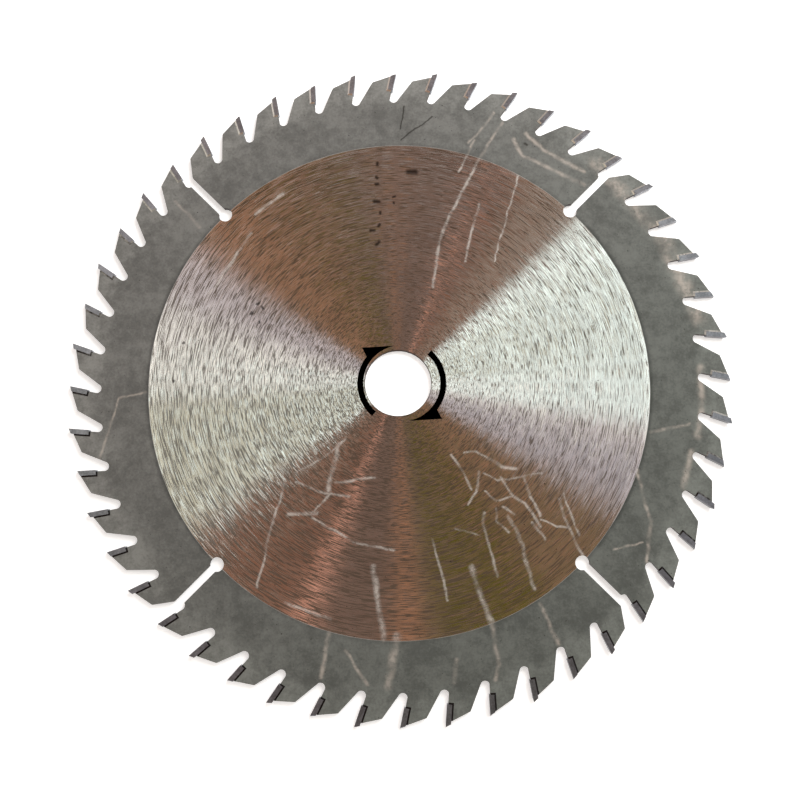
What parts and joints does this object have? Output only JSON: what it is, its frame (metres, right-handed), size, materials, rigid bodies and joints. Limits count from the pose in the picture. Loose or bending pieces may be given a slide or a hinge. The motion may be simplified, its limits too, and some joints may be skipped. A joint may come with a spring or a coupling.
{
  "type": "circular saw blade",
  "caption": "Flat round steel saw blade with a plain arbor bore, radial expansion slots with round ends, and brazed carbide teeth ground to alternate bevels.",
  "frame": {"origin": "centre of the arbor bore, at half the plate's thickness", "axes": "+Z along the bore, out of the face that the picture shows; +X through a cutting edge; seen from +Z the blade cuts clockwise"},
  "size_m": [0.3, 0.3, 0.0032],
  "materials": {
    "plate_steel": "ground in rings inside, blasted grey towards the teeth",
    "carbide": "fine ground, dark grey",
    "braze": "dull, discoloured",
    "print_ink": "thin matt black print"
  },
  "bodies": {
    "root": {"plate": "plate_steel", "braze_joints": "braze", "carbide_tip_01": "carbide", "carbide_tip_02": "carbide", "carbide_tip_03": "carbide", "carbide_tip_04": "carbide", "carbide_tip_05": "carbide", "carbide_tip_06": "carbide", "carbide_tip_07": "carbide", "carbide_tip_08": "carbide", "carbide_tip_09": "carbide", "carbide_tip_10": "carbide", "carbide_tip_11": "carbide", "carbide_tip_12": "carbide", "carbide_tip_13": "carbide", "carbide_tip_14": "carbide", "carbide_tip_15": "carbide", "carbide_tip_16": "carbide", "carbide_tip_17": "carbide", "carbide_tip_18": "carbide", "carbide_tip_19": "carbide", "carbide_tip_20": "carbide", "carbide_tip_21": "carbide", "carbide_tip_22": "carbide", "carbide_tip_23": "carbide", "carbide_tip_24": "carbide", "carbide_tip_25": "carbide", "carbide_tip_26": "carbide", "carbide_tip_27": "carbide", "carbide_tip_28": "carbide", "carbide_tip_29": "carbide", "carbide_tip_30": "carbide", "carbide_tip_31": "carbide", "carbide_tip_32": "carbide", "carbide_tip_33": "carbide", "carbide_tip_34": "carbide", "carbide_tip_35": "carbide", "carbide_tip_36": "carbide", "carbide_tip_37": "carbide", "carbide_tip_38": "carbide", "carbide_tip_39": "carbide", "carbide_tip_40": "carbide", "carbide_tip_41": "carbide", "carbide_tip_42": "carbide", "carbide_tip_43": "carbide", "carbide_tip_44": "carbide", "carbide_tip_45": "carbide", "carbide_tip_46": "carbide", "carbide_tip_47": "carbide", "carbide_tip_48": "carbide"}
  },
  "joints": []
}
